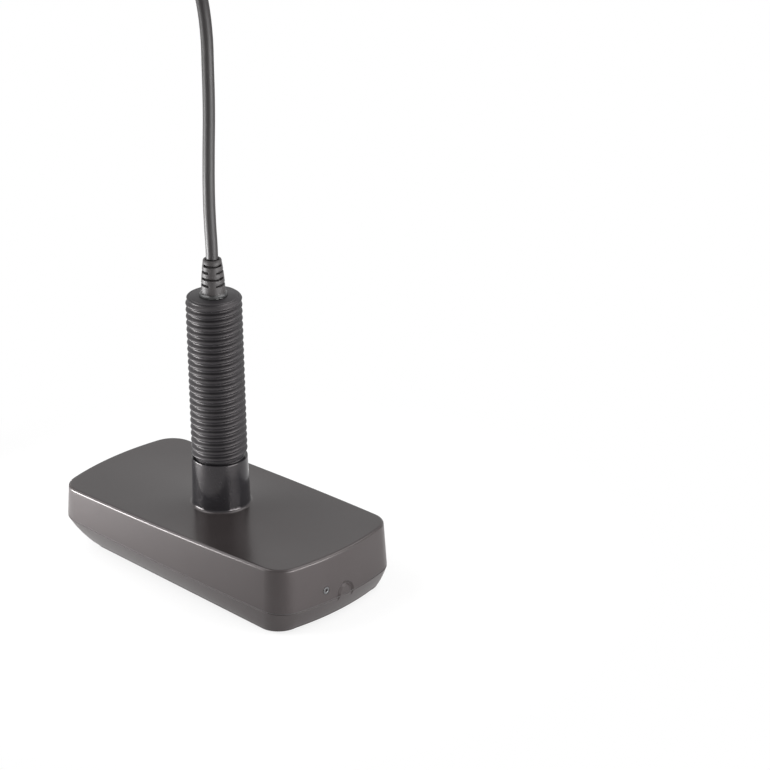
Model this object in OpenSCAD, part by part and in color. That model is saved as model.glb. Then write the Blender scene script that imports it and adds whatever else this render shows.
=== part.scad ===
// Through-hull sonar transducer: a bonded two-piece body on a threaded stem, with its cable.
// +X points to the stern end, +Z up along the stem. The acoustic face lies on z = 0.

/* [Body] */
// Length of the top face along its middle
body_l = 149; // [144:1:160]
// Width of the top face across its middle
body_w = 75; // [72:1:84]
// Height from the acoustic face to the top face
body_h = 32; // [31:0.5:38]
// Radius of the long sides, seen from above
side_r = 1640; // [900:20:3000]
// Radius of the two ends, seen from above
end_r = 127; // [100:1:200]
// Radius of the four corners, seen from above
corner_r = 11.8; // [8:0.2:16]
// How far the walls lean out between the top face and the seam
wall_flare = 1; // [0.4:0.1:2]
// Rounding of the edge round the top face
top_edge_r = 1.2; // [0.6:0.1:2]
// Thickness of the housing's walls
wall_t = 3; // [2.4:0.1:3.6]
// Thickness of the housing's top
top_t = 4; // [3:0.1:4.6]

/* [Seam and lower cover] */
// Depth of the seam below the top face at the bow
seam_bow = 14.7; // [13:0.1:16]
// Depth of the seam below the top face at the stern
seam_stern = 21.5; // [19:0.1:22.5]
// Thickness of the glue in the seam
joint_t = 0.4; // [0.3:0.1:0.8]
// How far the glue sits back from the outside
joint_set_back = 0.3; // [0.2:0.1:1]
// Height of the cover's lip above the seam
lip_h = 3; // [2:0.1:3.6]
// Thickness of the cover's lip
lip_t = 1.6; // [1.2:0.1:2]
// Clearance between the lip and the housing wall
lip_gap = 0.15; // [0.1:0.05:0.3]
// How far the acoustic face stops short of the body's bow end
face_bow_inset = 9.5; // [6:0.5:14]
// How far the acoustic face stops short of the body's stern end
face_stern_inset = 6.5; // [4:0.5:9]
// How far the acoustic face is set in from each long side at the bow
face_bow_side = 11.6; // [9:0.1:14]
// How far the acoustic face is set in from each long side at the stern
face_stern_side = 2.8; // [2:0.1:7]
// Corner radius of the acoustic face
face_corner_r = 10; // [6:0.5:12]
// Bulge of the acoustic face's two ends
face_bulge = 2.4; // [1:0.1:4]
// Rounding of the edge round the acoustic face
bilge_r = 1; // [0.6:0.1:2]
// How full the cover's sides are below the seam: 2 is straight, less is rounder
cover_fullness = 1.7; // [1.4:0.05:2]
// Thickness of the acoustic window
window_t = 3; // [2.4:0.1:4]
// Thickness of the cover's sides at the window
cover_side_t = 3; // [2.4:0.1:4]

/* [Stem] */
// Outside diameter of the stem's thread
stem_d = 25.4; // [22:0.2:30]
// Height of the stem above the top face
stem_h = 101.5; // [90:0.5:120]
// Distance of the stem from the body's middle, towards the bow
stem_set = 1.8; // [0:0.1:5]
// Height of the smooth collar at the stem's foot
collar_h = 23; // [16:0.5:30]
// How much wider than the thread the collar's foot is
collar_taper = 1.2; // [0.6:0.1:2]
// Fillet between the collar and the top face
collar_fillet = 0.9; // [0.5:0.1:1.5]
// Width of the run-out groove between collar and thread
groove_w = 1.8; // [1.2:0.1:2.6]
// Depth of the run-out groove
groove_t = 1.4; // [0.8:0.1:1.8]
// Width of the bevel at the stem's tip
tip_bevel = 0.9; // [0.5:0.1:1.5]
// Height of the bevel at the stem's tip
tip_bevel_h = 1.6; // [1:0.1:2.5]
// Diameter of the cable bore
bore_d = 9; // [8:0.1:11]

/* [Strain relief] */
// Height of the boot above the stem
relief_h = 17.5; // [15:0.5:22]
// Diameter of the boot at its foot
relief_foot_d = 11; // [10:0.1:12.5]
// Diameter of the boot at its top
relief_top_d = 8.8; // [8:0.1:9.6]
// Depth of the boot's spigot inside the stem
spigot_h = 12; // [8:0.5:18]
// Height of one bending slot
slot_h = 1.1; // [0.8:0.1:1.5]
// Depth of the bending slots
slot_t = 1.2; // [0.6:0.1:1.4]
// Height of the lowest slot above the stem
slot_first = 5.5; // [4:0.1:6.5]
// Distance from one slot to the next
slot_pitch = 3; // [2.6:0.1:3.2]
// Width of the web between two slots of one row
slot_web = 3.2; // [2:0.1:4]
// Width of the sealant bead round the boot's foot
bead_w = 1.5; // [1:0.1:2]
// Height of the sealant bead
bead_h = 1; // [0.6:0.1:1.4]

/* [Acoustic elements] */
// Thickness of the ceramic elements
element_t = 9; // [8:0.1:9.6]
// Diameter of the ceramic disc
disc_d = 38; // [34:0.5:41]
// Width of the carrier beyond the array bar at the bow
array_bow = 12.8; // [10:0.1:20]
// Width of the ceramic array bar
array_w = 14; // [10:0.5:16]
// Number of saw cuts in the array bar
array_cuts = 11; // [5:1:15]
// Width of a saw cut
cut_w = 0.6; // [0.4:0.1:1]
// Depth of a saw cut
cut_t = 3; // [1:0.1:5]
// Clearance between an element and its isolator
element_gap = 0.2; // [0.1:0.05:0.4]
// Thickness of the isolator's sides
isolator_t = 2.5; // [2:0.1:3]
// Thickness of the isolator's cap
isolator_cap_t = 2; // [1.5:0.1:2.5]
// Thickness of the carrier plate
carrier_t = 6; // [4:0.1:8]
// Width of the carrier between and beyond the isolators
carrier_web = 3; // [2:0.1:4]
// Clearance round the carrier and its pockets
carrier_gap = 0.2; // [0.1:0.05:0.4]

/* [Circuit board] */
// Length of the board
board_l = 100; // [92:1:106]
// Width of the board
board_w = 38; // [36:1:42]
// Thickness of the board
board_t = 1.6; // [1:0.1:2]
// Thickness of the potting between the isolators and the board
potting_t = 1.4; // [1:0.1:2]
// Diameter of the carrier's posts under the board
post_d = 5; // [4:0.1:6]
// Diameter of the pegs on the posts
peg_d = 2.4; // [2:0.1:3]
// Clearance round pegs, posts and leads
peg_gap = 0.1; // [0.05:0.05:0.2]
// Distance of the posts from the board's middle line
post_y = 15; // [14.5:0.1:16]
// Distance of the bow posts from the web between the elements
post_span = 54; // [48:0.5:58]
// Diameter of the element leads
lead_d = 1.2; // [0.8:0.1:1.6]
// Distance of each lead from the middle of its element
lead_x = 8; // [5:0.5:10]
// Diameter of the tuning coil
tuner_d = 18; // [14:0.5:22]
// Height of the tuning coil
tuner_h = 6.5; // [5:0.1:8]
// Diameter of the can capacitors
can_d = 7; // [5:0.1:8]
// Height of the can capacitors
can_h = 7.5; // [5:0.1:9]
// Distance of the outer can's middle from the board's bow end
can_set = 15; // [8:0.5:20]
// Length, width and height of the terminal block
terminal = [14, 9, 3]; // [2:0.5:18]

/* [Temperature sensor] */
// Distance of the sensor from the stern's middle, to the near side
sensor_y = 11.4; // [9:0.1:13]
// Diameter of the sensor's metal button
button_d = 3.4; // [2.6:0.1:4]
// Depth of the seat that the button sits in
button_seat = 0.5; // [0.3:0.1:0.8]
// Diameter of the button's shank
shank_d = 2; // [1.4:0.1:2.4]
// Diameter of the thermistor bead
thermistor_d = 4.2; // [3.4:0.1:5]
// Length of the thermistor bead
thermistor_l = 5; // [4:0.5:7]
// Diameter of the thermistor's wires
thermistor_wire_d = 0.8; // [0.5:0.1:1]
// Width of the arched groove in the middle of the stern
arch_w = 10.6; // [8:0.1:13]
// Height of the arched groove above the seam
arch_rise = 6; // [5:0.1:7]
// How far the arched groove runs down into the cover
arch_fall = 3; // [1:0.1:4]
// Width of the groove itself
arch_line = 1.9; // [1:0.1:2.4]
// Depth of the arched groove
arch_t = 0.6; // [0.4:0.1:0.9]

/* [Cable] */
// Diameter of the cable
cable_d = 5.6; // [5:0.1:6.4]
// Length of cable that hangs out below the stem inside the housing
tail_out = 6; // [5:0.1:7]
// Outside diameter of the crimp ring on the cable inside the housing
crimp_d = 12; // [10.5:0.1:14]
// Height of the crimp ring
crimp_h = 4; // [3:0.1:4.6]
// Diameter of the cable's cores
core_d = 1.3; // [1:0.1:1.6]
// Distance of each core from the cable's middle
core_r = 1.5; // [1.2:0.1:1.9]
// Distance between turns in the coil
turn_pitch = 5.7; // [5.6:0.1:6.2]
// Turns that lie beside each other in the coil
coil_tracks = 4; // [3:1:5]
// Layers of turns in the coil
coil_layers = 6; // [4:1:7]
// Radius of the coil at the middle of its turns
coil_mid_r = 36.2; // [32:0.1:40]
// Thickness of the tie straps
tie_t = 0.8; // [0.5:0.1:1.2]
// Width of the tie straps
tie_w = 6; // [4:0.5:9]
// Clearance between strap and coil
tie_gap = 0.3; // [0.2:0.05:0.6]

/* [Connector] */
// Diameter of the connector's shell
shell_d = 15; // [13:0.5:18]
// Length of the connector's shell
shell_l = 27; // [22:0.5:32]
// Thickness of the shell's skirt
skirt_t = 1.3; // [1:0.1:1.8]
// Depth of the socket inside the skirt
socket_l = 9; // [7:0.5:12]
// Length of the connector's boot
boot_l = 15; // [12:0.5:20]
// Diameter of the boot at the shell
boot_d = 11; // [10:0.1:12.5]
// Diameter of the boot at the cable
boot_tip_d = 7.6; // [7:0.1:9]
// Number of grip grooves round the shell
grip_count = 14; // [8:1:20]
// Radius of a grip groove
grip_r = 0.9; // [0.5:0.1:1.2]
// Number of contact pins round the middle
pin_count = 6; // [4:1:8]
// Diameter of a contact pin
pin_d = 1.2; // [0.8:0.1:1.6]
// Length of pin that stands in the socket
pin_l = 6; // [4:0.1:6.6]
// Radius of the ring of pins
pin_ring_r = 3.4; // [2.6:0.1:4]

/* [Hidden] */
$fn = 64;
thin = 0.01;
past = 1;
far = 2 * body_l;

stem_x = -stem_set;
stem_top = body_h + stem_h;
thread_foot = body_h + collar_h + groove_w;
ceiling_z = body_h - top_t;
relief_top = stem_top + relief_h;

// The seam is a plane that drops from the bow to the stern
seam_slope = (seam_stern - seam_bow) / body_l;
seam_z = body_h - (seam_bow + seam_stern) / 2;
seam_tilt = atan(seam_slope);

// Curves of the body's outline, seen from above
side_c = [0, body_w / 2 - side_r];
end_c = [body_l / 2 - end_r, 0];
corner_c = crossing(side_c, side_r - corner_r, end_c, end_r - corner_r);
end_turn = bearing(corner_c - end_c);
side_turn = bearing(corner_c - side_c);
arc_steps = 8;

// Corners of the acoustic face
face_bow_x = body_l / 2 - face_bow_inset;
face_stern_x = body_l / 2 - face_stern_inset;
face_bow_y = body_w / 2 - face_bow_side;
face_stern_y = body_w / 2 - face_stern_side;

// The inner pieces stand on the acoustic window, from the stern towards the bow
isolator_z = window_t + element_t + isolator_cap_t;
disc_pocket_r = disc_d / 2 + element_gap + isolator_t;
carrier_inset = cover_side_t + carrier_gap;
disc_x = face_stern_x - carrier_inset - carrier_web - disc_pocket_r;
web_x = disc_x - disc_pocket_r - carrier_web / 2;
array_stern = web_x - carrier_web / 2;
array_bow_x = array_bow + carrier_inset - face_bow_x;
array_x = (array_stern + array_bow_x) / 2;
array_pocket = [array_stern - array_bow_x, array_w + 2 * (element_gap + isolator_t)];
array_l = array_pocket.x - 2 * (element_gap + isolator_t);
board_z = isolator_z + potting_t;
board_top = board_z + board_t;
board_stern = disc_x + lead_x + 2 * lead_d + 4;
board_x = board_stern - board_l / 2;
post_x = [web_x, web_x - post_span];
lead_places = concat([for (s = [-1, 1]) disc_x + s * lead_x],
                     [for (s = [-1, 1]) array_x + s * 2 * lead_x]);
tuner_x = board_stern - tuner_d / 2 - 3;
can_x = [for (i = [0, 1]) board_stern - board_l + can_set + 1.3 * can_d * i];
tail_z = ceiling_z - tail_out;

// The sensor looks out of the stern at the height of the board's edge
sensor_z = board_z + board_t / 2;
stern_x = end_c.x + sqrt(pow(end_r, 2) - pow(sensor_y, 2));
wall_lean = wall_flare / seam_stern;
button_x = stern_x + wall_lean * (body_h - sensor_z);
shank_end_x = stern_x - wall_t - 1.4;
seam_stern_z = body_h - seam_stern;

// Cable route from the boot to the coil, measured from the stem's middle line on the floor
boot_top = 151;
cable_points = [
    [0, 0, 151], [0, 0, 156], [-0.2, -0.2, 168], [-0.2, -0.2, 182], [0.2, 0.2, 200], [0.8, 0.8, 220],
    [1, 1, 240], [0.8, 1, 258], [-1.2, 0.5, 274], [-6, 0, 290], [-15, -1, 304], [-29, -2, 316], [-48, -3, 323],
    [-72, -4, 325.4], [-96, -5, 323], [-118, -7, 314], [-136, -9, 299], [-149, -11, 278], [-157.5, -13.5, 254],
    [-162.5, -15.5, 228], [-165.5, -17, 200], [-167.5, -18, 170], [-169, -18.6, 140], [-170, -19, 110],
    [-170, -19, 80], [-170, -19, 52], [-170, -19, 30], [-171.3, -20.5, 20], [-175, -25, 11.4],
    [-180.4, -31.4, 5.8], [-187, -39.2, 3.8]];
cable_route = [for (p = cable_points) [p.x + stem_x, p.y, p.z * relief_top / boot_top]];
route_end = cable_route[len(cable_route) - 1];

// The coil lies against the end of that route, which comes in at this angle
coil_turn = -40;
coil_half = coil_tracks * turn_pitch / 2;
coil_out_r = coil_mid_r + coil_half;
coil_c = [route_end.x, route_end.y] - (coil_out_r + cable_d / 2 + tie_gap) * [cos(coil_turn), sin(coil_turn)];
coil_z = tie_t + tie_gap;
coil_top = coil_z + coil_layers * turn_pitch;
tie_turns = [20, 100];

// Route from the coil's top to the connector, measured from the middle of the coil's top
end_points = [
    [-33, 27.6, 3], [-24, 34.4, 3.6], [-14, 38.4, 4.4], [-3.6, 39.8, 5.2], [6.8, 37.8, 6], [15.2, 32.6, 6.8],
    [20, 26, 7.4], [21.5, 19, 7.8], [21.5, 14, 7.8]];
end_lift = shell_d / 2 + tie_gap - end_points[len(end_points) - 1].z;
cable_end_route = [for (p = end_points) [p.x + coil_c.x, p.y + coil_c.y, p.z + coil_top + end_lift]];
connector_at = cable_end_route[len(cable_end_route) - 1];

function bearing(v) = atan2(v.y, v.x);

// The crossing of two circles that lies on the right of the line from the first to the second
function crossing(c1, r1, c2, r2) =
    let (gap = c2 - c1, d = norm(gap), u = gap / d, a = (d * d + r1 * r1 - r2 * r2) / (2 * d))
    c1 + a * u + sqrt(r1 * r1 - a * a) * [u.y, -u.x];

function arc(c, r, from, to, first = 0) =
    [for (i = [first:arc_steps]) let (t = from + (to - from) * i / arc_steps) c + r * [cos(t), sin(t)]];

// One quarter of the outline, from the middle of the stern to the middle of the +Y side
function quarter(grow) = concat(
    arc(end_c, end_r + grow, 0, end_turn),
    arc(corner_c, corner_r + grow, end_turn, side_turn, 1),
    arc(side_c, side_r + grow, side_turn, 90, 1));

function backwards(list) = [for (i = [len(list) - 1:-1:0]) list[i]];
function inner(list) = [for (i = [1:len(list) - 2]) list[i]];

// A whole outline from its stern and bow quarters, from the middle of the stern round by the +Y side
function loop(stern, bow) = concat(
    stern, [for (p = inner(backwards(bow))) [-p.x, p.y]],
    [for (p = bow) [-p.x, -p.y]], [for (p = inner(backwards(stern))) [p.x, -p.y]]);

function outline(grow) = loop(quarter(grow), quarter(grow));

// One quarter of the acoustic face, from the middle of its end to the middle of its straight side
function face_quarter(x, y, side_mid, inset) =
    let (r = face_corner_r, c = [x - inset - r, y - inset - r], start = c + [0, r])
    concat([for (i = [0:arc_steps]) let (t = i / arc_steps) [x - inset + face_bulge * (1 - t * t), t * c.y]],
           arc(c, r, 0, 90, 1),
           [for (i = [1:arc_steps]) start + (side_mid - [0, inset] - start) * i / arc_steps]);

// Outline of the acoustic face, narrower at the bow, with as many points as the body's outline
function face_outline(inset) =
    let (mid = [face_stern_x - face_bow_x, face_stern_y + face_bow_y] / 2)
    loop(face_quarter(face_stern_x, face_stern_y, mid, inset),
         face_quarter(face_bow_x, face_bow_y, [-mid.x, mid.y], inset));

function between(a, b, share) = [for (i = [0:len(a) - 1]) a[i] + share * (b[i] - a[i])];

// Section of the cover's side, as shares of its whole width and height at angle t from the seam
function side_in(t) = 1 - pow(cos(t), cover_fullness);
function side_left(t) = 1 - pow(sin(t), cover_fullness);

module slice(points, z) {
    translate([0, 0, z]) linear_extrude(thin) polygon(points);
}

// Lays its children on a plane between the acoustic face's edge and the seam, seen from above as they are
module towards_seam(share) {
    multmatrix([[1, 0, 0, 0], [0, 1, 0, 0],
                [-seam_slope * share, 0, 1, bilge_r + (seam_z - bilge_r) * share], [0, 0, 0, 1]]) children();
}

module above_seam(lift) {
    translate([0, 0, seam_z + lift]) rotate([0, seam_tilt, 0]) translate([-far, -far, 0]) cube(2 * far);
}

module below_seam(lift) {
    translate([0, 0, seam_z + lift]) rotate([0, seam_tilt, 0]) translate([-far, -far, -2 * far]) cube(2 * far);
}

// The whole outside of the body: rounded top edge, leaning walls, and a bottom like a boat's
module body_form() {
    soft = 1 - cos(45);
    rim = outline(wall_flare);
    keel = face_outline(0);
    hull() {
        slice(outline(-top_edge_r), body_h - thin);
        slice(outline(-soft * top_edge_r), body_h - soft * top_edge_r);
        slice(outline(0), body_h - top_edge_r);
        for (t = [0, 22.5, 45, 67.5, 90])
            towards_seam(side_left(t)) linear_extrude(thin) polygon(between(rim, keel, side_in(t)));
        slice(face_outline(soft * bilge_r), soft * bilge_r);
        slice(face_outline(bilge_r), 0);
    }
}

module prism(points, from, to) {
    translate([0, 0, from]) linear_extrude(to - from) polygon(points);
}

// Smooth collar with a foot fillet, run-out groove and the stem at its thread's outside diameter
module stem_form() {
    r = stem_d / 2;
    foot_r = r + collar_taper / 2;
    fillet = [for (i = [0:6]) let (t = 270 - 15 * i)
        [foot_r + collar_fillet * (1 + cos(t)), collar_fillet * (1 + sin(t))]];
    profile = concat([[0, -top_t / 2], [foot_r + collar_fillet, -top_t / 2]], fillet,
        [[r, collar_h], [r - groove_t, collar_h], [r - groove_t, collar_h + groove_w], [r, collar_h + groove_w],
         [r, stem_h - tip_bevel_h], [r - tip_bevel, stem_h], [0, stem_h]]);
    translate([stem_x, 0, body_h]) rotate_extrude() polygon(profile);
}

// Arched groove that is cut into the stern, standing on the seam
module arch_cut(rise, fall) {
    rotate([90, 0, 90]) linear_extrude(3 * arch_t) difference() {
        arch_face(arch_w / 2, rise, fall);
        arch_face(arch_w / 2 - arch_line, rise - arch_line, fall + past);
    }
}

module arch_face(r, rise, fall) {
    translate([0, rise - r]) circle(r);
    translate([-r, -fall]) square([2 * r, rise - r + fall]);
}

module upper_housing() {
    stern_mid_x = body_l / 2 + wall_lean * (seam_stern - arch_rise);
    color("#3f3c3b") difference() {
        union() {
            intersection() {
                body_form();
                above_seam(joint_t / 2);
            }
            stem_form();
        }
        prism(outline(-wall_t), -past, ceiling_z);
        translate([stem_x, 0, ceiling_z - past]) cylinder(d = bore_d, h = top_t + stem_h + 2 * past);
        translate([stern_mid_x - arch_t, 0, seam_stern_z]) arch_cut(arch_rise, arch_fall);
        translate([stern_x - wall_t - past, -sensor_y, sensor_z]) rotate([0, 90, 0])
            cylinder(d = shank_d, h = wall_t + 3 * past);
        translate([button_x - button_seat, -sensor_y, sensor_z]) rotate([0, 90, 0])
            cylinder(d = button_d, h = past + button_seat);
    }
}

module lower_cover() {
    lip_out = -wall_t - lip_gap;
    lip_in = lip_out - lip_t;
    stern_in = wall_flare + face_stern_inset - face_bulge;
    cover_lean = atan(stern_in * side_in(45) / ((seam_stern_z - bilge_r) * (1 - side_left(45))));
    notch = thermistor_d + 2;
    color("#383635") difference() {
        union() {
            intersection() {
                body_form();
                below_seam(-joint_t / 2);
            }
            intersection() {
                prism(outline(lip_out), 0, body_h);
                above_seam(-joint_t);
                below_seam(lip_h);
            }
        }
        prism(face_outline(cover_side_t), window_t, body_h);
        intersection() {
            prism(outline(lip_in), 0, body_h);
            above_seam(0);
        }
        translate([body_l / 2 + wall_flare, 0, seam_stern_z]) rotate([0, cover_lean, 0])
            translate([-arch_t, 0, 0]) arch_cut(arch_rise, arch_fall);
        translate([shank_end_x - thermistor_l - notch, -sensor_y - notch / 2, sensor_z - notch / 2])
            cube([far, notch, notch]);
    }
}

module joint_bead() {
    color("#1d1c1c") intersection() {
        difference() {
            prism(outline(wall_flare - joint_set_back), 0, body_h);
            prism(outline(-wall_t), -past, body_h + past);
        }
        above_seam(-joint_t / 2);
        below_seam(joint_t / 2);
    }
}

module disc_round(r, h) {
    translate([disc_x, 0, window_t]) cylinder(r = r, h = h);
}

module array_box(size, h) {
    translate([array_x - size.x / 2, -size.y / 2, window_t]) cube([size.x, size.y, h]);
}

module at_leads(h, d, z) {
    for (x = lead_places) translate([x, 0, z]) cylinder(d = d, h = h, $fn = 24);
}

module at_posts() {
    for (x = post_x, y = [-post_y, post_y]) translate([x, y, 0]) children();
}

module element_carrier() {
    post_z = window_t + carrier_t;
    color("#6b6a66") difference() {
        union() {
            prism(face_outline(carrier_inset), window_t, post_z);
            at_posts() translate([0, 0, window_t]) cylinder(d = post_d, h = board_z - window_t);
            at_posts() translate([0, 0, window_t]) cylinder(d = peg_d, h = board_top - window_t);
        }
        translate([0, 0, -past]) disc_round(disc_pocket_r + carrier_gap, body_h);
        translate([0, 0, -past]) array_box(array_pocket + 2 * carrier_gap * [1, 1], body_h);
    }
}

module disc_element() {
    color("#c9c2ae") disc_round(disc_d / 2, element_t);
}

module disc_isolator() {
    color("#9a7a52") difference() {
        disc_round(disc_pocket_r, element_t + isolator_cap_t);
        translate([0, 0, -past]) disc_round(disc_d / 2 + element_gap, element_t + past);
        at_leads(body_h, lead_d + 2 * peg_gap, 0);
    }
}

module array_element() {
    step = array_l / (array_cuts + 1);
    color("#c9c2ae") difference() {
        array_box([array_l, array_w], element_t);
        for (i = [1:array_cuts])
            translate([array_x - array_l / 2 + i * step - cut_w / 2, -array_w, window_t + element_t - cut_t])
                cube([cut_w, 2 * array_w, cut_t + past]);
    }
}

module array_isolator() {
    color("#9a7a52") difference() {
        array_box(array_pocket, element_t + isolator_cap_t);
        translate([0, 0, -past]) array_box([array_l, array_w] + 2 * element_gap * [1, 1], element_t + past);
        at_leads(body_h, lead_d + 2 * peg_gap, 0);
    }
}

module element_leads() {
    foot = window_t + element_t;
    color("#b03a2e") at_leads(board_z - foot, lead_d, foot);
}

module potting_layer() {
    color("#2b2b30") difference() {
        prism(face_outline(carrier_inset + carrier_web), isolator_z, board_z);
        at_posts() cylinder(d = post_d + 2 * peg_gap, h = body_h);
        at_leads(body_h, lead_d + 2 * peg_gap, 0);
    }
}

module circuit_board() {
    color("#2f5d3a") difference() {
        translate([board_x - board_l / 2, -board_w / 2, board_z]) cube([board_l, board_w, board_t]);
        at_posts() cylinder(d = peg_d + 2 * peg_gap, h = body_h);
    }
}

module tuning_coil() {
    hole_r = tuner_d / 6;
    ring_w = tuner_d / 2 - hole_r;
    soft = ring_w / 4;
    color("#a5672f") translate([tuner_x, 0, board_top]) rotate_extrude()
        polygon([[hole_r, 0], [tuner_d / 2, 0], [tuner_d / 2, tuner_h - soft], [tuner_d / 2 - soft, tuner_h],
                 [hole_r + soft, tuner_h], [hole_r, tuner_h - soft]]);
}

module can_capacitors() {
    color("#30343c") for (x = can_x) translate([x, 0, board_top]) cylinder(d = can_d, h = can_h);
}

module terminal_block() {
    color("#d8d4c8") translate([stem_x - terminal.x / 2, -terminal.y / 2, board_top]) cube(terminal);
}

module sensor_button() {
    r = button_d / 2;
    dome = [for (i = [0:5]) [r * cos(18 * i), button_seat + 0.25 * r * sin(18 * i)]];
    translate([button_x - button_seat, -sensor_y, sensor_z]) rotate([0, 90, 0]) color("#c8cacc") {
        rotate_extrude() polygon(concat([[0, 0], [r, 0]], dome));
        translate([0, 0, shank_end_x - button_x + button_seat])
            cylinder(d = shank_d, h = button_x - button_seat - shank_end_x + thin);
    }
}

module thermistor() {
    color("#2c2f36") translate([shank_end_x - thermistor_l, -sensor_y, sensor_z]) rotate([0, 90, 0])
        cylinder(d = thermistor_d, h = thermistor_l);
}

module sensor_leads() {
    reach = shank_end_x - thermistor_l - board_stern;
    color("#c9a227") for (s = [-1, 1])
        translate([board_stern, -sensor_y + s * thermistor_wire_d, sensor_z]) rotate([0, 90, 0])
            cylinder(d = thermistor_wire_d, h = reach, $fn = 24);
}

module cable_cores() {
    foot = board_top + terminal.z;
    color("#b03a2e") translate([stem_x, 0, foot])
        for (t = [45:90:315]) rotate(t) translate([core_r, 0, 0]) cylinder(d = core_d, h = tail_z - foot, $fn = 24);
}

module cable_tail() {
    color("#232323") translate([stem_x, 0, tail_z]) cylinder(d = cable_d, h = relief_top - tail_z);
}

module crimp_ring() {
    color("#b9b08c") translate([stem_x, 0, ceiling_z - crimp_h]) difference() {
        cylinder(d = crimp_d, h = crimp_h);
        translate([0, 0, -past]) cylinder(d = cable_d, h = crimp_h + 2 * past);
    }
}

module stem_potting() {
    color("#2b2b30") translate([stem_x, 0, ceiling_z]) difference() {
        cylinder(d = bore_d, h = stem_top - spigot_h - ceiling_z);
        translate([0, 0, -past]) cylinder(d = cable_d, h = stem_h + top_t);
    }
}

// Boot with rows of slots that turn by a quarter from row to row, so that it bends
module strain_relief() {
    top_r = relief_top_d / 2;
    foot_r = relief_foot_d / 2;
    soft = (top_r - cable_d / 2) / 2;
    rows = floor((relief_h - slot_first - slot_h) / slot_pitch);
    camera_side = -46;
    color("#1b1b1c") translate([stem_x, 0, stem_top]) difference() {
        union() {
            rotate_extrude() polygon([[0, 0], [foot_r, 0], [foot_r, 1], [top_r, relief_h - soft],
                [top_r - soft, relief_h], [0, relief_h]]);
            translate([0, 0, -spigot_h]) cylinder(d = bore_d, h = spigot_h);
        }
        translate([0, 0, -spigot_h - past]) cylinder(d = cable_d, h = spigot_h + relief_h + 2 * past);
        for (row = [0:rows]) {
            z = slot_first + row * slot_pitch;
            wall_r = foot_r + (top_r - foot_r) * z / relief_h;
            translate([0, 0, z]) rotate(camera_side + 90 * ((rows - row) % 2)) difference() {
                cylinder(r = foot_r + past, h = slot_h);
                translate([0, 0, -past]) cylinder(r = wall_r - slot_t, h = slot_h + 2 * past);
                translate([-slot_web / 2, -far / 2, -past]) cube([slot_web, far, slot_h + 2 * past]);
            }
        }
    }
}

module sealant_bead() {
    foot_r = relief_foot_d / 2;
    crown = [for (t = [0:15:90]) [foot_r + bead_w * cos(t), bead_h * sin(t)]];
    color("#101011") translate([stem_x, 0, stem_top]) rotate_extrude() polygon(concat([[foot_r, 0]], crown));
}

// Tube through a list of points: one ring of corners at each point, square to the route there
function way(route, i) =
    let (v = route[min(i + 1, len(route) - 1)] - route[max(i - 1, 0)]) v / norm(v);
function ring_at(route, i, r, sides) =
    let (t = way(route, i), u = cross([0.3, 1, 0.1], t), a = u / norm(u), b = cross(t, a))
    [for (k = [0:sides - 1]) route[i] + r * (cos(360 * k / sides) * a + sin(360 * k / sides) * b)];

module tube(route, d, sides = 10) {
    count = len(route);
    rings = [for (i = [0:count - 1]) each ring_at(route, i, d / 2, sides)];
    walls = [for (i = [0:count - 2], k = [0:sides - 1])
        let (m = (k + 1) % sides, low = i * sides, up = low + sides)
        each [[low + k, up + k, up + m], [low + k, up + m, low + m]]];
    ends = [[for (k = [0:sides - 1]) k], [for (k = [sides - 1:-1:0]) (count - 1) * sides + k]];
    polyhedron(points = rings, faces = concat(walls, ends));
}

module cable_run() {
    color("#232323") tube(cable_route, cable_d);
}

module cable_coil() {
    color("#232323") translate([coil_c.x, coil_c.y, coil_z]) rotate_extrude($fn = 96)
        translate([coil_mid_r - coil_half, 0]) square([2 * coil_half, coil_top - coil_z]);
}

// Strap loops round the whole bundle
module coil_ties() {
    deep = 2 * (coil_half + tie_gap);
    high = coil_top - coil_z + 2 * tie_gap;
    color("#151515") for (t = tie_turns)
        translate([coil_c.x, coil_c.y, 0]) rotate(t) translate([coil_mid_r - deep / 2 - tie_t, tie_w / 2, 0])
            rotate([90, 0, 0]) linear_extrude(tie_w) difference() {
                square([deep + 2 * tie_t, high + 2 * tie_t]);
                translate([tie_t, tie_t]) square([deep, high]);
            }
}

module cable_end() {
    color("#232323") tube(cable_end_route, cable_d);
}

// Places its children with +Z along the connector, from the cable's end towards the contacts
module at_connector(along = 0) {
    translate(connector_at - [0, along, 0]) rotate([90, 0, 0]) children();
}

module connector_boot() {
    color("#1b1b1c") at_connector() difference() {
        cylinder(d1 = boot_tip_d, d2 = boot_d, h = boot_l);
        for (i = [1:3]) translate([0, 0, i * boot_l / 4 - slot_h / 2]) difference() {
            cylinder(d = 2 * boot_d, h = slot_h);
            translate([0, 0, -past]) cylinder(d = boot_tip_d - slot_t, h = slot_h + 2 * past);
        }
    }
}

module connector_shell() {
    r = shell_d / 2;
    color("#1e1e20") at_connector(boot_l) difference() {
        rotate_extrude() polygon([[0, 0], [r - 2, 0], [r, 2], [r, shell_l - 1], [r - 1, shell_l], [0, shell_l]]);
        translate([0, 0, shell_l - socket_l]) cylinder(r = r - skirt_t, h = socket_l + past);
        for (k = [0:grip_count - 1]) rotate(360 * k / grip_count) translate([r + grip_r / 2, 0, 3])
            cylinder(r = grip_r, h = shell_l - socket_l - 6, $fn = 24);
    }
}

module connector_insert() {
    color("#4a4a4e") at_connector(boot_l + shell_l - socket_l) difference() {
        cylinder(r = shell_d / 2 - skirt_t, h = socket_l - pin_l - past);
        at_pins() translate([0, 0, -past]) cylinder(d = pin_d, h = socket_l + 2 * past, $fn = 24);
    }
}

module at_pins() {
    for (k = [0:pin_count - 1]) rotate(360 * k / pin_count) translate([pin_ring_r, 0, 0]) children();
}

module connector_pins() {
    color("#d0b060") at_connector(boot_l + shell_l - socket_l) at_pins()
        cylinder(d = pin_d, h = socket_l - past, $fn = 24);
}

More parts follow.
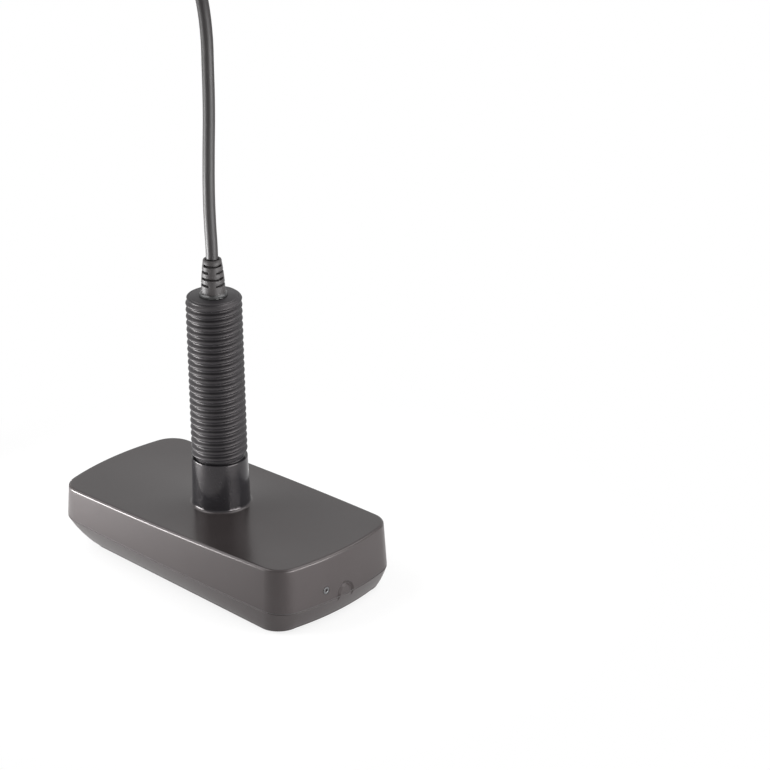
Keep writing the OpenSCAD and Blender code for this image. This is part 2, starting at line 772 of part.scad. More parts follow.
upper_housing();
lower_cover();
joint_bead();
element_carrier();
disc_element();
disc_isolator();
array_element();
array_isolator();
element_leads();
potting_layer();
circuit_board();
tuning_coil();
can_capacitors();
terminal_block();
sensor_button();
thermistor();
sensor_leads();
cable_cores();
cable_tail();
crimp_ring();
stem_potting();
strain_relief();
sealant_bead();
cable_run();
cable_coil();
coil_ties();
cable_end();
connector_boot();
connector_shell();
connector_insert();
connector_pins();
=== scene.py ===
import math

import bmesh
import bpy
from mathutils import Matrix, Vector, noise


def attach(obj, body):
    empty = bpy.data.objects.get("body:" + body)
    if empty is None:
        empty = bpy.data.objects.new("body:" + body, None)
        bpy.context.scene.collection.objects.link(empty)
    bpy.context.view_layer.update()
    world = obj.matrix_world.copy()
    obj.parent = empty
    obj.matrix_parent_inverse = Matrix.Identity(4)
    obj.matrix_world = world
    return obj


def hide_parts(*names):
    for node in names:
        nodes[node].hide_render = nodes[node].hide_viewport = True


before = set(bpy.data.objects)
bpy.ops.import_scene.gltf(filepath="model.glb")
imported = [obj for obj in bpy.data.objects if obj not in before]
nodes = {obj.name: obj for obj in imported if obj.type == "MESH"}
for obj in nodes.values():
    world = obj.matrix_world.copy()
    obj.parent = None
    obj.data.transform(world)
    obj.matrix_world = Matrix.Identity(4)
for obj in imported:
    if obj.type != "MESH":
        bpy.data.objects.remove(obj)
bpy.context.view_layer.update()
scene = bpy.context.scene
scene.view_settings.view_transform = "Standard"


# Camera: a long lens that looks down on the corner between the near long side and the stern.
# The lens is aimed to the right of the transducer, so the body stands left of the picture's middle.
turn, rise, roll = math.radians(43.584), math.radians(24.177), math.radians(-1.19)
aim_right, aim_up, distance, lens_mm = 0.0743, 0.05257, 1.8477, 190
level = Vector((math.cos(turn), math.sin(turn), 0))
back = Vector((math.sin(turn) * math.cos(rise), -math.cos(turn) * math.cos(rise), math.sin(rise)))
steep = back.cross(level)
right = math.cos(roll) * level + math.sin(roll) * steep
upward = math.cos(roll) * steep - math.sin(roll) * level
stem_x, body_h = -0.0018, 0.032
stem_foot = Vector((stem_x, 0, body_h))
eye = stem_foot + aim_right * right + aim_up * upward + distance * back
camera = bpy.data.objects.new("camera", bpy.data.cameras.new("camera"))
camera.data.lens = lens_mm
camera.matrix_world = Matrix.Translation(eye) @ Matrix((right, upward, back)).transposed().to_4x4()
scene.collection.objects.link(camera)
scene.camera = camera


# Floor and light: a white sweep under four soft boxes, a low and a high one on either side. The floor
# looks white to the lens, is quite white away from the body, and still takes its soft shadow.
class Wire:
    """One output socket of a node tree. Arithmetic with it adds Math nodes to that tree."""

    def __init__(self, tree, socket):
        self.tree = tree
        self.socket = socket

    def node(self, kind, settings=None, inputs=None, output=0):
        """Adds a node: its settings come first, then a value or a wire for each named input."""
        made = self.tree.nodes.new(kind)
        for name, value in (settings or {}).items():
            setattr(made, name, value)
        for name, value in (inputs or {}).items():
            if isinstance(value, Wire):
                self.tree.links.new(value.socket, made.inputs[name])
            else:
                made.inputs[name].default_value = value
        return Wire(self.tree, made.outputs[output]) if made.outputs else None

    def math(self, operation, *values):
        """Adds one Math node."""
        return self.node("ShaderNodeMath", {"operation": operation}, dict(enumerate(values)))

    def __add__(self, other):
        return self.math("ADD", self, other)

    def __rsub__(self, other):
        return self.math("SUBTRACT", other, self)

    def __mul__(self, other):
        return self.math("MULTIPLY", self, other)

    __radd__ = __add__
    __rmul__ = __mul__


def seen_by_lens(tree):
    """1 on rays that come from the lens, straight or by way of a gloss or glass, and 0 on others."""
    path = tree.nodes.new("ShaderNodeLightPath")
    kinds = ("Is Camera Ray", "Is Glossy Ray", "Is Transmission Ray")
    straight, mirrored, through = (Wire(tree, path.outputs[kind]) for kind in kinds)
    sight = straight + mirrored + through
    return sight.math("MINIMUM", sight, 1)


room_level = 0.22
world = bpy.data.worlds.new("studio")
world.use_nodes = True
world.node_tree.nodes.clear()
seen = seen_by_lens(world.node_tree)
room_light = seen * (1 - room_level) + room_level
air = seen.node("ShaderNodeBackground", {}, {"Color": (1, 1, 1, 1), "Strength": room_light})
air.node("ShaderNodeOutputWorld", {}, {"Surface": air})
scene.world = world

floor_half, floor_drop, floor_white = 5, 0.0002, 0.96
shadow_r, white_r, white_near, gloss_dim = 0.1, 0.2, 0.74, 0.55
floor_form = bmesh.new()
bmesh.ops.create_grid(floor_form, x_segments=1, y_segments=1, size=floor_half)
bmesh.ops.translate(floor_form, verts=floor_form.verts, vec=(0, 0, -floor_drop))
floor_mesh = bpy.data.meshes.new("floor")
floor_form.to_mesh(floor_mesh)
floor_form.free()
floor_paint = bpy.data.materials.new("white_sweep")
floor_paint.use_nodes = True
floor_tree = floor_paint.node_tree
floor_tree.nodes.clear()
seen = seen_by_lens(floor_tree)
spot = Wire(floor_tree, floor_tree.nodes.new("ShaderNodeTexCoord").outputs["Object"])
away = spot.node("ShaderNodeVectorMath", {"operation": "LENGTH"}, {0: spot}, output=1)
far = away.node("ShaderNodeMapRange", {"interpolation_type": "SMOOTHSTEP"},
                {"Value": away, "From Min": shadow_r, "From Max": white_r, "To Min": white_near, "To Max": 1})
lit = seen.node("ShaderNodeBsdfDiffuse", {}, {"Color": (floor_white, floor_white, floor_white, 1)})
bright = seen.node("ShaderNodeEmission", {}, {"Color": (1, 1, 1, 1), "Strength": 1})
in_gloss = Wire(floor_tree, floor_tree.nodes.new("ShaderNodeLightPath").outputs["Is Glossy Ray"])
white_share = seen * far * (1 - gloss_dim * in_gloss)
sweep = seen.node("ShaderNodeMixShader", {}, {0: white_share, 1: lit, 2: bright})
sweep.node("ShaderNodeOutputMaterial", {}, {"Surface": sweep})
floor_mesh.materials.append(floor_paint)
floor = bpy.data.objects.new("floor", floor_mesh)
scene.collection.objects.link(floor)

for name, place, width, height, power in (
    ("low_left_box", Vector((-0.23, -0.21, 0.03)), 0.2, 0.054, 2.3),
    ("high_left_box", Vector((-0.38, -0.33, 0.58)), 0.6, 0.6, 4.0),
    ("low_right_box", Vector((0.48, 0.06, 0.05)), 0.4, 0.09, 3.2),
    ("high_right_box", Vector((0.345, 0.285, 0.59)), 0.6, 0.6, 3.8),
):
    lamp = bpy.data.lights.new(name, "AREA")
    lamp.shape = "RECTANGLE"
    lamp.size, lamp.size_y = width, height
    lamp.energy = power
    box = bpy.data.objects.new(name, lamp)
    facing = (place - stem_foot).to_track_quat("Z", "Y").to_matrix().to_4x4()
    box.matrix_world = Matrix.Translation(place) @ facing
    scene.collection.objects.link(box)


# Cable: one round jacketed lead. It comes up out of the boot, bends over under its own stiffness,
# and its spare length is wound clockwise into a tied coil beside the bow, layer upon layer.
def start_finish(name):
    """A new material without nodes, and the wire that carries the surface's own coordinates."""
    material = bpy.data.materials.new(name)
    material.use_nodes = True
    material.node_tree.nodes.clear()
    place = material.node_tree.nodes.new("ShaderNodeTexCoord").outputs["Object"]
    return material, Wire(material.node_tree, place)


def grain(place, size, detail=2):
    """Noise from 0 to 1 whose lumps are about size metres across."""
    return place.node("ShaderNodeTexNoise", {}, {"Vector": place, "Scale": 1 / size, "Detail": detail})


def tint(fac, first, second):
    """A colour that goes from first to second as fac goes from 0 to 1."""
    shades = [shade if isinstance(shade, Wire) else (*shade, 1) for shade in (first, second)]
    return fac.node("ShaderNodeMix", {"data_type": "RGBA"}, {0: fac, 6: shades[0], 7: shades[1]}, output=2)


def end_finish(place, height, depth, strength, **sockets):
    """Closes a material: a principled surface with a bump of that height and depth."""
    inputs = {name.replace("_", " "): value for name, value in sockets.items()}
    bump = {"Strength": strength, "Distance": depth, "Height": height}
    inputs["Normal"] = place.node("ShaderNodeBump", {}, bump)
    shader = place.node("ShaderNodeBsdfPrincipled", {}, inputs)
    shader.node("ShaderNodeOutputMaterial", {}, {"Surface": shader})


def jacket_finish(name, shade, rough, pore):
    """Rubbery black: a little mottled, with fine pores and dull rubbed patches."""
    material, place = start_finish(name)
    rubbed = grain(place, 0.011, 3)
    pores = grain(place, pore)
    dull = tuple(1.7 * part + 0.004 for part in shade)
    end_finish(place, pores, 0.00006, 0.5, Base_Color=tint(rubbed * pores, shade, dull),
               Roughness=rubbed * 0.16 + (rough - 0.08), IOR=1.4)
    return material


cable_jacket = jacket_finish("cable_jacket", (0.013, 0.0112, 0.0114), 0.46, 0.0004)
cable_d, boot_top = 0.0056, 0.151
cable_route = [
    (0, 0, boot_top), (0, 0, 0.156), (-0.0002, -0.0002, 0.168), (-0.0002, -0.0002, 0.182),
    (0.0002, 0.0002, 0.2), (0.0008, 0.0008, 0.22), (0.001, 0.001, 0.24),
    (0.0008, 0.001, 0.258), (-0.0012, 0.0005, 0.274),
    (-0.006, 0, 0.29), (-0.015, -0.001, 0.304), (-0.029, -0.002, 0.316), (-0.048, -0.003, 0.323),
    (-0.072, -0.004, 0.3254), (-0.096, -0.005, 0.323), (-0.118, -0.007, 0.314), (-0.136, -0.009, 0.299),
    (-0.149, -0.011, 0.278), (-0.1575, -0.0135, 0.254), (-0.1625, -0.0155, 0.228), (-0.1655, -0.017, 0.2),
    (-0.1675, -0.018, 0.17), (-0.169, -0.0186, 0.14), (-0.17, -0.019, 0.11), (-0.17, -0.019, 0.08),
    (-0.17, -0.019, 0.052), (-0.17, -0.019, 0.03), (-0.1713, -0.0205, 0.02), (-0.175, -0.025, 0.0114),
    (-0.1804, -0.0314, 0.0058), (-0.187, -0.0392, 0.0038)]
cable_line = [Vector(point) + Vector((stem_x, 0, 0)) for point in cable_route]

coil_tracks, coil_layers, turn_pitch = 4, 6, 0.0057
coil_mid_r, coil_floor, coil_clearance = 0.0362, 0.0011, 0.0003
coil_lead_in = -40
coil_out_r = coil_mid_r + coil_tracks * turn_pitch / 2
coil_top = coil_floor + coil_layers * turn_pitch
lead_in_r = coil_out_r + cable_d / 2 + coil_clearance
lead_in_a = math.radians(coil_lead_in)
coil_c = cable_line[-1] - lead_in_r * Vector((math.cos(lead_in_a), math.sin(lead_in_a), 0))
coil_c.z = 0


def coil_slot(index):
    """Radius and height of one turn: even layers are wound inwards and odd layers outwards."""
    layer, count = divmod(index, coil_tracks)
    track = count if layer % 2 else coil_tracks - 1 - count
    r = coil_mid_r + (track + 0.5 - coil_tracks / 2) * turn_pitch
    return r, coil_floor + (layer + 0.5) * turn_pitch


turns = coil_tracks * coil_layers
slots = [(lead_in_r, cable_line[-1].z)] + [coil_slot(index) for index in range(turns)]
lead_in_width, shift_width, shift_lag, lead_in_lag = 48, 80, 20, 15


def shift_start(count):
    """Degrees along the coil at which turn count moves over. Later turns make room for earlier ones."""
    if count == 0:
        return 0
    layer, inside = divmod(count - 1, coil_tracks)
    rank = 2 * layer + (1 if inside or count == 1 else 0)
    return 360 * count - shift_lag * rank - lead_in_lag


coil_points, last_turn_short = 16, 240
coil_step = 360 / coil_points
coil_stop = 360 * turns - last_turn_short
wound = coil_step
while wound < coil_stop - coil_step / 2:
    passed = max(count for count in range(turns) if shift_start(count) <= wound)
    share = min((wound - shift_start(passed)) / (shift_width if passed else lead_in_width), 1)
    share = share * share * (3 - 2 * share)
    r, z = (first + share * (second - first) for first, second in zip(slots[passed], slots[passed + 1]))
    bearing = math.radians(coil_lead_in - wound)
    cable_line.append(coil_c + Vector((r * math.cos(bearing), r * math.sin(bearing), z)))
    wound += coil_step
cable_end_route = [
    (-0.0421, -0.0153, -0.0028), (-0.0445, -0.0039, -0.0022), (-0.0438, 0.0077, -0.0006),
    (-0.04, 0.0184, 0.0014), (-0.033, 0.0276, 0.003), (-0.024, 0.0344, 0.0036), (-0.014, 0.0384, 0.0044),
    (-0.0036, 0.0398, 0.0052), (0.0068, 0.0378, 0.006), (0.0149, 0.0323, 0.0068), (0.0198, 0.0252, 0.0074),
    (0.0214, 0.0176, 0.0078), (0.0215, 0.014, 0.0078)]
cable_line += [coil_c + Vector(point) + Vector((0, 0, coil_top)) for point in cable_end_route]

cable_curve = bpy.data.curves.new("cable", "CURVE")
cable_curve.dimensions = "3D"
cable_curve.bevel_depth = cable_d / 2
cable_curve.bevel_resolution = 4
cable_curve.resolution_u = 4
cable_curve.use_fill_caps = True
cable_spline = cable_curve.splines.new("BEZIER")
cable_spline.bezier_points.add(len(cable_line) - 1)
for knot, point in zip(cable_spline.bezier_points, cable_line):
    knot.co = point
    knot.handle_left_type = knot.handle_right_type = "AUTO"
cable_curve.materials.append(cable_jacket)
cable = bpy.data.objects.new("cable", cable_curve)
scene.collection.objects.link(cable)
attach(cable, "root")
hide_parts("cable_run", "cable_coil", "cable_end")


# Lower cover: the moulded bottom of the body, with the thin flat window that the sound goes through.
# It narrows towards the bow like a boat, and a lip inside its rim locates the housing above it.
body_l, body_w = 0.149, 0.075
side_r, end_r, corner_r, wall_flare = 1.64, 0.127, 0.0118, 0.001
seam_bow, seam_stern, joint_t = 0.0147, 0.0215, 0.0004
seam_slope = (seam_stern - seam_bow) / body_l
seam_z = body_h - (seam_bow + seam_stern) / 2
wall_t, lip_gap, lip_t, lip_h = 0.003, 0.00015, 0.0016, 0.003
face_bow, face_stern = (0.065, 0.0259), (0.068, 0.0347)
face_corner_r, face_bulge, bilge_r, window_t, cover_side_t = 0.01, 0.0024, 0.001, 0.003, 0.003
cover_fullness = 1.7
end_steps, corner_steps, side_steps = 24, 12, 20


def sweep_points(centre, radius, start, stop, steps):
    """Points of an arc, without its last one."""
    angles = [start + (stop - start) * step / steps for step in range(steps)]
    return [(centre[0] + radius * math.cos(angle), centre[1] + radius * math.sin(angle)) for angle in angles]


def body_outline(grow):
    """The body seen from above: two nearly straight sides, two round ends, four round corners."""
    side_c, end_c = Vector((0, body_w / 2 - side_r)), Vector((body_l / 2 - end_r, 0))
    gap = end_c - side_c
    reach = gap.length
    gap.normalize()
    along = ((side_r - corner_r) ** 2 - (end_r - corner_r) ** 2 + reach ** 2) / (2 * reach)
    across = math.sqrt((side_r - corner_r) ** 2 - along ** 2)
    corner = side_c + along * gap + across * Vector((gap.y, -gap.x))
    end_a = math.atan2(corner.y, corner.x - end_c.x)
    side_a = math.atan2(corner.y - side_c.y, corner.x)
    far_corner = (-corner.x, corner.y)
    half = (sweep_points(end_c, end_r + grow, -end_a, end_a, end_steps)
            + sweep_points(corner, corner_r + grow, end_a, side_a, corner_steps)
            + sweep_points(side_c, side_r + grow, side_a, math.pi - side_a, side_steps)
            + sweep_points(far_corner, corner_r + grow, math.pi - side_a, math.pi - end_a, corner_steps))
    return half + [(-x, -y) for x, y in half]


def face_outline(inset):
    """The acoustic window's edge, with as many points as the body's outline."""
    points = []
    for sign, (x, y), (next_x, next_y) in ((1, face_stern, face_bow), (-1, face_bow, face_stern)):
        w = y - inset - face_corner_r
        for step in range(end_steps):
            t = 2 * step / end_steps - 1
            points.append((sign * (x - inset + face_bulge * (1 - t * t)), sign * t * w))
        first = 0 if sign > 0 else math.pi
        second = first + math.pi / 2
        centre = (sign * (x - inset - face_corner_r), sign * w)
        points += sweep_points(centre, face_corner_r, first, second, corner_steps)
        start = Vector((centre[0], sign * (y - inset)))
        stop = Vector((-sign * (next_x - inset - face_corner_r), sign * (next_y - inset)))
        points += [tuple(start.lerp(stop, step / side_steps)) for step in range(side_steps)]
        centre = (stop.x, stop.y - sign * face_corner_r)
        points += sweep_points(centre, face_corner_r, second, second + math.pi / 2, corner_steps)
    return points


def flat(points, z):
    """A plan outline laid level at this height."""
    return [Vector((x, y, z)) for x, y in points]


def on_seam(points, lift):
    """A plan outline laid on the tilted parting line, or this far above it."""
    return [Vector((x, y, seam_z - seam_slope * x + lift)) for x, y in points]


def skin(form, rings):
    """Walls from each ring of points to the next, and the edges of the first and the last ring."""
    loops = [[form.verts.new(point) for point in points] for points in rings]
    for lower, upper in zip(loops, loops[1:]):
        for i in range(len(lower)):
            form.faces.new((lower[i - 1], lower[i], upper[i], upper[i - 1]))
    ends = (loops[0], loops[-1])
    return [[form.edges.get((loop[i - 1], loop[i])) for i in range(len(loop))] for loop in ends]


def between(first, second, share):
    """The ring that lies this share of the way from the first ring to the second."""
    return [a.lerp(b, share) for a, b in zip(first, second)]


def make_piece(name, form, finish, replaced, sharp=40):
    """Turns a bmesh into a piece of the transducer that stands for the named CAD nodes."""
    bmesh.ops.remove_doubles(form, verts=form.verts, dist=1e-6)
    bmesh.ops.recalc_face_normals(form, faces=form.faces)
    mesh = bpy.data.meshes.new(name)
    form.to_mesh(mesh)
    form.free()
    mesh.polygons.foreach_set("use_smooth", [True] * len(mesh.polygons))
    mesh.set_sharp_from_angle(angle=math.radians(sharp))
    mesh.materials.append(finish)
    piece = bpy.data.objects.new(name, mesh)
    scene.collection.objects.link(piece)
    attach(piece, "root")
    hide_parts(*replaced)
    return piece


def carve(piece, cutter_form):
    """Cuts a closed form out of a piece, for good."""
    mesh = bpy.data.meshes.new("cutter")
    bmesh.ops.recalc_face_normals(cutter_form, faces=cutter_form.faces)
    cutter_form.to_mesh(mesh)
    cutter_form.free()
    cutter = bpy.data.objects.new("cutter", mesh)
    scene.collection.objects.link(cutter)
    cut = piece.modifiers.new("cut", "BOOLEAN")
    cut.operation, cut.solver, cut.object = "DIFFERENCE", "EXACT", cutter
    carved = bpy.data.meshes.new_from_object(piece.evaluated_get(bpy.context.evaluated_depsgraph_get()))
    piece.modifiers.clear()
    piece.data = carved
    bpy.data.objects.remove(cutter)


arch_w, arch_rise, arch_fall, arch_line, arch_t, arch_slope = 0.0106, 0.006, 0.003, 0.0019, 0.0006, 1.2


def arch_ring(depth):
    """The arched groove's edge this far out of the wall. Its sides slope, so it is wider further out."""
    spread = arch_slope * depth
    steps = 14
    outer, inner, low = arch_w / 2 + spread, arch_w / 2 - arch_line - spread, -arch_fall - spread
    crown = arch_rise - arch_w / 2
    ring = [(outer * math.cos(math.pi * k / steps), crown + outer * math.sin(math.pi * k / steps))
            for k in range(steps + 1)]
    ring += [(-outer, low), (-inner, low)]
    ring += [(-inner * math.cos(math.pi * k / steps), crown + inner * math.sin(math.pi * k / steps))
             for k in range(steps + 1)]
    ring += [(inner, low), (outer, low)]
    return [Vector((depth, y, z)) for y, z in ring]


def arch_cutter(wall_x, lean):
    """The arched groove's volume, on the seam. With less lean than the wall has, its legs run out."""
    form = bmesh.new()
    for edges in skin(form, [arch_ring(-arch_t), arch_ring(arch_t)]):
        bmesh.ops.triangle_fill(form, use_beauty=True, edges=edges)
    foot = Vector((wall_x, 0, body_h - seam_stern))
    form.transform(Matrix.Translation(foot) @ Matrix.Rotation(lean, 4, "Y"))
    return form


def above(height, low, high):
    """0 where the height is below low, 1 where it is above high, and a ramp between them."""
    return height.node("ShaderNodeMapRange", {}, {"Value": height, "From Min": low, "From Max": high})


def housing_finish():
    """Dark warm grey moulding: spark-eroded matte grain on the body, polished and bluer on the stem."""
    material, place = start_finish("housing_plastic")
    height = place.node("ShaderNodeSeparateXYZ", {}, {"Vector": place}, output=2)
    on_top = above(height, body_h - 0.0012, body_h - 0.0002)
    on_stem = above(height, body_h + 0.0001, body_h + 0.0008)
    on_thread = above(height, body_h + 0.0232, body_h + 0.0248)
    fine = grain(place, 0.00035, 3)
    cloud = grain(place, 0.016, 4)
    flow = grain(place, 0.0045, 2)
    body_shade = tint(cloud, (0.023, 0.0192, 0.0192), (0.029, 0.0248, 0.0247))
    stem_shade = tint(cloud, (0.008, 0.0076, 0.0088), (0.012, 0.0113, 0.0128))
    rough_body = 0.3 - 0.12 * on_top + 0.08 * fine
    rough_stem = 0.16 + 0.06 * flow + 0.26 * on_thread
    pits = fine * (1 - 0.75 * on_top)
    end_finish(place, pits, 0.00005, 0.4, Base_Color=tint(on_stem, body_shade, stem_shade),
               Roughness=rough_body * (1 - on_stem) + rough_stem * on_stem, IOR=1.42,
               Specular_Tint=(1, 0.93, 0.935, 1))
    return material


housing_plastic = housing_finish()
cover_form = bmesh.new()
lip_out = -wall_t - lip_gap
rim_bevel, edge_band = 0.0002, 0.0004
pocket = face_outline(cover_side_t)


def side_in(angle):
    """Share of the cover side's whole slope inwards at this angle down from the seam."""
    return 1 - math.cos(math.radians(angle)) ** cover_fullness


def side_left(angle):
    """Share of the cover side's height that is left at this angle down from the seam."""
    return 1 - math.sin(math.radians(angle)) ** cover_fullness


side_rings = []
for angle in range(18, 91, 12):
    share = side_left(angle)
    plan = [Vector(rim).lerp(Vector(keel), side_in(angle))
            for rim, keel in zip(body_outline(wall_flare), face_outline(0))]
    heights = [bilge_r + (seam_z - bilge_r - seam_slope * x) * share for x, y in plan]
    side_rings.append([Vector((x, y, z)) for (x, y), z in zip(plan, heights)])
bilge = []
for step in range(1, 5):
    angle = math.radians(22.5 * step)
    bilge.append(flat(face_outline(bilge_r * (1 - math.cos(angle))), bilge_r * (1 - math.sin(angle))))
window_in, window_out = skin(cover_form, [
    flat(pocket, window_t), on_seam(pocket, 0), on_seam(body_outline(lip_out - lip_t), 0),
    on_seam(body_outline(lip_out - lip_t), lip_h), on_seam(body_outline(lip_out), lip_h),
    on_seam(body_outline(lip_out), -joint_t / 2), on_seam(body_outline(wall_flare - rim_bevel), -joint_t / 2),
    on_seam(body_outline(wall_flare - rim_bevel / 6), -joint_t / 2 - rim_bevel)] + side_rings + bilge
    + [flat(face_outline(bilge_r + edge_band), 0)])
for edges in (window_in, window_out):
    bmesh.ops.triangle_fill(cover_form, use_beauty=True, edges=edges)
lower_cover = make_piece("lower_cover_moulding", cover_form, housing_plastic,
                         ["lower_cover"])
stern_in = wall_flare + body_l / 2 - face_stern[0] - face_bulge
stern_down = body_h - seam_stern - bilge_r
arch_angle, arch_runout = 45, 0.25
cover_lean = math.atan2(stern_in * side_in(arch_angle), stern_down * (1 - side_left(arch_angle)))
carve(lower_cover, arch_cutter(body_l / 2 + wall_flare, cover_lean - arch_runout))


# Upper housing: body shell, collar and stem in one moulding, glued down on the cover. The stem has a
# right-hand thread for the hull nut, a run-out groove under it, and a bore that the cable comes up.
top_t, top_edge_r = 0.004, 0.0012
ceiling_z = body_h - top_t
stem_r, stem_h, collar_h, collar_taper, collar_fillet = 0.0127, 0.1015, 0.023, 0.0006, 0.0013
groove_w, groove_r, tip_r, tip_bevel_h, bore_r = 0.0018, 0.0110, 0.0118, 0.0016, 0.0045
thread_pitch, thread_root_r = 0.003175, 0.01115
stem_steps = 72
to_stem = Matrix.Translation((stem_x, 0, body_h))


def circle_at(r, z):
    """A level ring of points round the stem's middle."""
    return [Vector((r * math.cos(math.tau * k / stem_steps), r * math.sin(math.tau * k / stem_steps), z))
            for k in range(stem_steps)]


stem_form = bmesh.new()
thread_foot = collar_h + groove_w
thread_depth, thread_points, tooth_fullness = stem_r - thread_root_r, 12, 0.75
tooth = []
for step in range(thread_points + 1):
    swing = -math.cos(math.tau * step / thread_points)
    swing = math.copysign(abs(swing) ** tooth_fullness, swing)
    tooth.append((thread_root_r + thread_depth * (0.5 + 0.5 * swing), thread_pitch * step / thread_points))
tooth_verts = [stem_form.verts.new((r, 0, thread_foot - 2 * thread_pitch + z)) for r, z in tooth]
tooth_edges = [stem_form.edges.new(pair) for pair in zip(tooth_verts, tooth_verts[1:])]
thread_turns = math.ceil((stem_h - thread_foot) / thread_pitch) + 4
bmesh.ops.spin(stem_form, geom=tooth_verts + tooth_edges, cent=(0, 0, 0), axis=(0, 0, 1),
               angle=math.tau * thread_turns, dvec=(0, 0, thread_pitch / stem_steps),
               steps=stem_steps * thread_turns, use_merge=False)
bmesh.ops.remove_doubles(stem_form, verts=stem_form.verts, dist=1e-5)
tip_plain = 0.0005
thread_top = stem_h - tip_plain
for z, cleared in ((thread_foot, "clear_inner"), (thread_top, "clear_outer")):
    everything = stem_form.verts[:] + stem_form.edges[:] + stem_form.faces[:]
    bmesh.ops.bisect_plane(stem_form, geom=everything, dist=1e-7, plane_co=(0, 0, z), plane_no=(0, 0, 1),
                           **{cleared: True})
for vert in stem_form.verts:
    limit = tip_r + (stem_h - vert.co.z) * (stem_r - tip_r) / tip_bevel_h
    r = vert.co.to_2d().length
    if r > limit:
        vert.co.x, vert.co.y = vert.co.x * limit / r, vert.co.y * limit / r
open_edges = [edge for edge in stem_form.edges if edge.is_boundary]
thread_start = [edge for edge in open_edges if edge.verts[0].co.z < stem_h / 2]
thread_end = [edge for edge in open_edges if edge.verts[0].co.z > stem_h / 2]
foot_r = stem_r + collar_taper
fillet = [(foot_r + collar_fillet * (1 - math.sin(a)), collar_fillet * (1 - math.cos(a)))
          for a in [math.radians(18 * k) for k in range(6)]]
collar = fillet + [(foot_r - 0.00004, collar_fillet + 0.0008), (stem_r, collar_h - 0.0003),
                   (stem_r - 0.00004, collar_h - 0.0001), (stem_r - 0.00012, collar_h),
                   (groove_r + 0.0002, collar_h + 0.0001), (groove_r, collar_h + 0.0003),
                   (groove_r, thread_foot)]
stem_base, groove_top = skin(stem_form, [circle_at(r, z) for r, z in collar])
tip = [(tip_r - 0.0008, thread_top), (tip_r - 0.001, stem_h - 0.00015), (tip_r - 0.0012, stem_h),
       (bore_r + 0.0003, stem_h), (bore_r, stem_h - 0.0003), (bore_r, -top_t)]
tip_edge, bore_low = skin(stem_form, [circle_at(r, z) for r, z in tip])
for edges in (groove_top + thread_start, tip_edge + thread_end):
    bmesh.ops.triangle_fill(stem_form, use_beauty=True, edges=edges)
stem_form.transform(to_stem)
top_rings = []
for step in range(6):
    angle = math.radians(18 * step)
    drop = top_edge_r * (1 - math.cos(angle))
    top_rings.append(flat(body_outline(top_edge_r * (math.sin(angle) - 1)), body_h - drop))
wall_foot = on_seam(body_outline(wall_flare), joint_t / 2 + rim_bevel)
inner_wall = body_outline(-wall_t)
top_face = flat(body_outline(-top_edge_r - edge_band), body_h)
wall_rings = [between(top_rings[-1], wall_foot, share) for share in (0.04, 0.5, 0.96)]
top_edge, ceiling_edge = skin(stem_form, [top_face] + top_rings + wall_rings + [
    wall_foot, on_seam(body_outline(wall_flare - rim_bevel), joint_t / 2), on_seam(inner_wall, joint_t / 2),
    flat(inner_wall, ceiling_z)])
for edges in (top_edge + stem_base, ceiling_edge + bore_low):
    bmesh.ops.triangle_fill(stem_form, use_beauty=True, edges=edges)
upper_housing = make_piece("upper_housing_moulding", stem_form, housing_plastic,
                           ["upper_housing"])
wall_lean, arch_set_in = wall_flare / seam_stern, 0.0002
carve(upper_housing, arch_cutter(body_l / 2 + wall_flare - arch_set_in, -wall_lean))


# Temperature sensor: a small shiny metal button pressed into a round seat in the stern wall,
# with a dimple in its middle. Its shank carries the heat through the wall to the bead inside.
sensor_y, sensor_z, button_r, seat_t, seat_gap = -0.0114, 0.0162, 0.0017, 0.0005, 0.00012
button_steps = 40
stern_x = body_l / 2 - end_r + math.sqrt(end_r ** 2 - sensor_y ** 2)
button_x = stern_x + wall_lean * (body_h - sensor_z)
seat_foot = Matrix.Translation((button_x - seat_t, sensor_y, sensor_z))
facing_stern = seat_foot @ Matrix.Rotation(math.pi / 2, 4, "Y")
seat_r = button_r + seat_gap
seat_form = bmesh.new()
bmesh.ops.create_cone(seat_form, cap_ends=True, segments=button_steps, radius1=seat_r, radius2=seat_r,
                      depth=4 * seat_t, matrix=facing_stern @ Matrix.Translation((0, 0, 2 * seat_t)))
carve(upper_housing, seat_form)


def metal_finish(name, shade, rough):
    """Turned and plated metal, with faint tarnish and tool marks."""
    material, place = start_finish(name)
    tarnish = grain(place, 0.0009, 3)
    marks = grain(place, 0.00012, 2)
    dull = tuple(0.72 * part for part in shade)
    end_finish(place, marks, 0.00001, 0.35, Base_Color=tint(tarnish, shade, dull), Metallic=1.0,
               Roughness=rough + 0.16 * tarnish)
    return material


def spun(form, profile, steps, ring=False):
    """Turns points of radius and height about Z. They start and end on the axis, or close to a ring."""
    verts = [form.verts.new((r, 0, z)) for r, z in profile]
    following = verts[1:] + verts[:1] if ring else verts[1:]
    edges = [form.edges.new(pair) for pair in zip(verts, following)]
    bmesh.ops.spin(form, geom=verts + edges, cent=(0, 0, 0), axis=(0, 0, 1), angle=math.tau, steps=steps,
                   use_merge=True)
    bmesh.ops.remove_doubles(form, verts=form.verts, dist=1e-7)


button_form = bmesh.new()
shank_l, shank_r = 0.0047, 0.00095
shank = [(0, -shank_l), (shank_r, -shank_l), (shank_r, 0.00003), (button_r, 0.00003)]
rim = [(button_r, 0.00052), (0.00167, 0.00058), (0.0016, 0.0006), (0.00088, 0.0006)]
dimple = [(0.00082, 0.00057), (0.00078, 0.00048), (0.00072, -0.0012), (0, -0.0015)]
spun(button_form, shank + rim + dimple, button_steps)
button_form.transform(facing_stern)
bright_metal = metal_finish("bright_metal", (0.17, 0.17, 0.175), 0.24)
make_piece("sensor_button_turned", button_form, bright_metal, ["sensor_button"])


